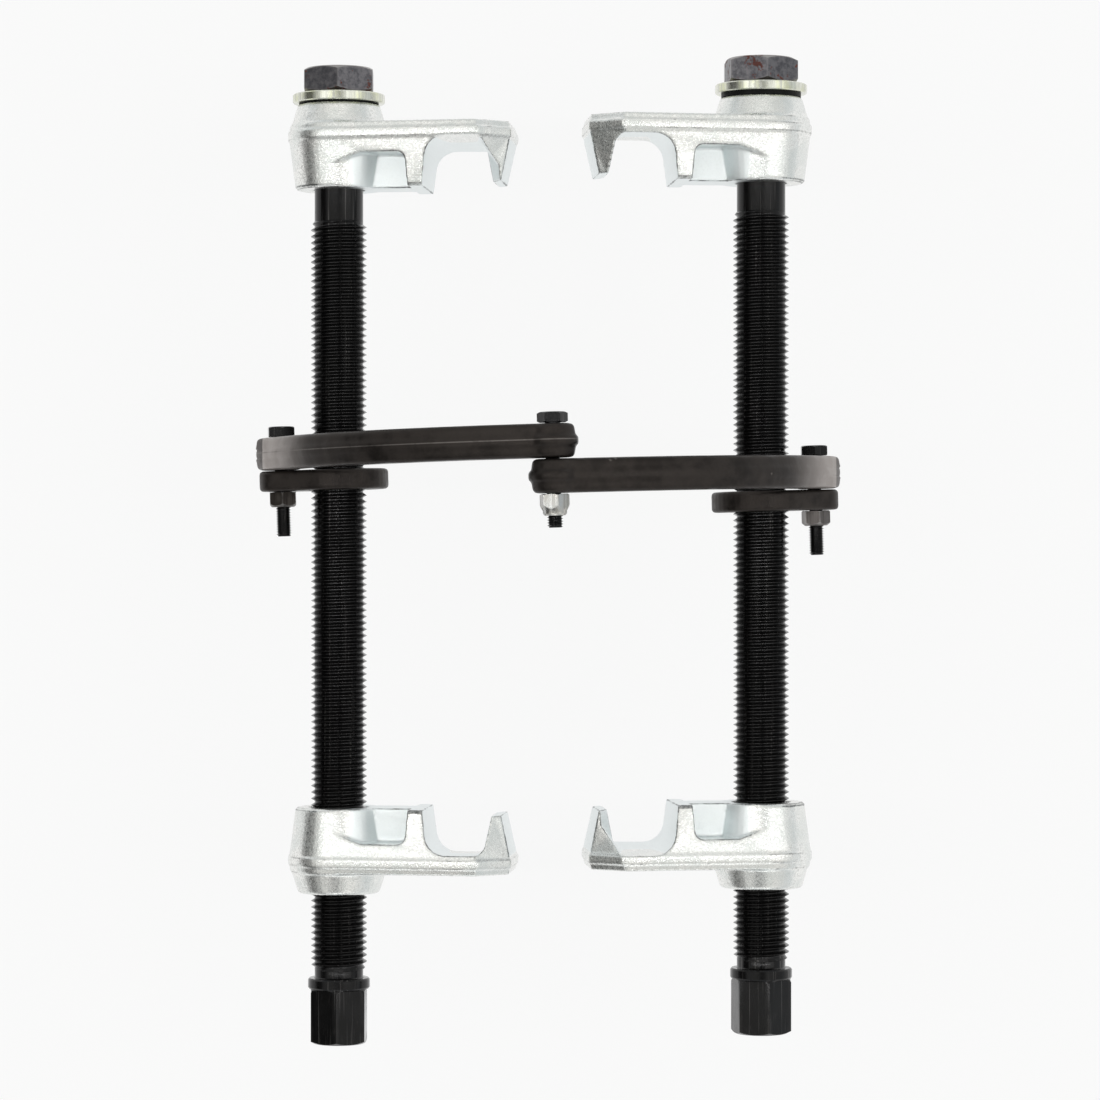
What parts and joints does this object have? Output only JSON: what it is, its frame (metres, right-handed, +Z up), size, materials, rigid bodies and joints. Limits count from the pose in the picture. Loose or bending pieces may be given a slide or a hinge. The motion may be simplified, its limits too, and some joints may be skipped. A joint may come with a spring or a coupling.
{
  "type": "coil spring compressor",
  "caption": "Coil spring compressor for suspension struts: two threaded spindles with hooked forged jaws, tied by a folding arched link",
  "frame": {"origin": "on the ground plane, at the middle of the bounding box in X and Y", "axes": "+X across the tool, from the left spindle to the right one; +Y along the spindles, away from the drive hexagons; +Z up, towards the arch of the link"},
  "size_m": [0.2283, 0.3856, 0.1098],
  "materials": {
    "zinc_plate": "satin",
    "washer_zinc": "satin",
    "black_oxide": "satin",
    "forged_black": "satin",
    "bolt_steel": "rusty",
    "nut_steel": "satin",
    "lock_nut_zinc": "satin",
    "nylon": "matte"
  },
  "bodies": {
    "link_left": {"left_link_arm": "forged_black", "pivot_bolt": "black_oxide", "pivot_lock_nut": "lock_nut_zinc", "lock_nut_insert": "nylon"},
    "link_right": {"right_link_arm": "forged_black"},
    "left_ring": {"left_link_ring": "forged_black", "left_lug_bolt": "black_oxide", "left_lug_nut": "nut_steel"},
    "left_thrust_washer": {"left_washer": "washer_zinc"},
    "left_top_jaw": {"left_upper_jaw": "zinc_plate"},
    "left_screw": {"left_spindle": "black_oxide", "left_top_bolt": "bolt_steel"},
    "left_bottom_jaw": {"left_lower_jaw": "zinc_plate"},
    "right_ring": {"right_link_ring": "forged_black", "right_lug_bolt": "black_oxide", "right_lug_nut": "nut_steel"},
    "right_thrust_washer": {"right_washer": "washer_zinc"},
    "right_top_jaw": {"right_upper_jaw": "zinc_plate"},
    "right_screw": {"right_spindle": "black_oxide", "right_top_bolt": "bolt_steel"},
    "right_bottom_jaw": {"right_lower_jaw": "zinc_plate"}
  },
  "joints": [
    {"name": "middle_pivot", "type": "hinge", "parent": "link_left", "child": "link_right", "pos_m": [0.00128, 0.03434, 0.10026], "axis": [-0.0279, 0.9996, 0], "range_deg": [-60, 10]},
    {"name": "left_lug_pivot", "type": "hinge", "parent": "link_left", "child": "left_ring", "pos_m": [-0.10509, 0.03792, 0.0199], "axis": [-0.0279, 0.9996, 0], "range_deg": [-15, 60]},
    {"name": "left_ring_slide", "type": "slide", "parent": "left_ring", "child": "left_thrust_washer", "axis": [0, -1, 0], "range_m": [-0.085, 0.085]},
    {"name": "left_jaw_swivel", "type": "hinge", "parent": "left_thrust_washer", "child": "left_top_jaw", "pos_m": [-0.0827, 0.16, 0.0199], "axis": [0, 1, 0], "continuous": true},
    {"name": "left_screw_turn", "type": "hinge", "parent": "left_top_jaw", "child": "left_screw", "pos_m": [-0.0827, 0, 0.0199], "axis": [0, -1, 0], "range_deg": [-4032, 13680]},
    {"name": "left_jaw_travel", "type": "slide", "parent": "left_top_jaw", "child": "left_bottom_jaw", "axis": [0, 1, 0], "range_m": [-0.0281, 0.0951]},
    {"name": "right_lug_pivot", "type": "hinge", "parent": "link_right", "child": "right_ring", "pos_m": [0.10401, 0.03065, 0.0153], "axis": [0.0279, -0.9996, 0], "range_deg": [-5, 60]},
    {"name": "right_ring_slide", "type": "slide", "parent": "right_ring", "child": "right_thrust_washer", "axis": [0, -1, 0], "range_m": [-0.085, 0.085]},
    {"name": "right_jaw_swivel", "type": "hinge", "parent": "right_thrust_washer", "child": "right_top_jaw", "pos_m": [0.0827, 0.16, 0.0199], "axis": [0, 1, 0], "continuous": true},
    {"name": "right_screw_turn", "type": "hinge", "parent": "right_top_jaw", "child": "right_screw", "pos_m": [0.0827, 0, 0.0199], "axis": [0, -1, 0], "range_deg": [-4032, 13680]},
    {"name": "right_jaw_travel", "type": "slide", "parent": "right_top_jaw", "child": "right_bottom_jaw", "axis": [0, 1, 0], "range_m": [-0.0281, 0.0951]}
  ],
  "couplings": [
    {"joint": "left_jaw_travel", "follows": "left_screw_turn", "m_per_rad": 0.00039789},
    {"joint": "right_jaw_travel", "follows": "right_screw_turn", "m_per_rad": 0.00039789}
  ]
}
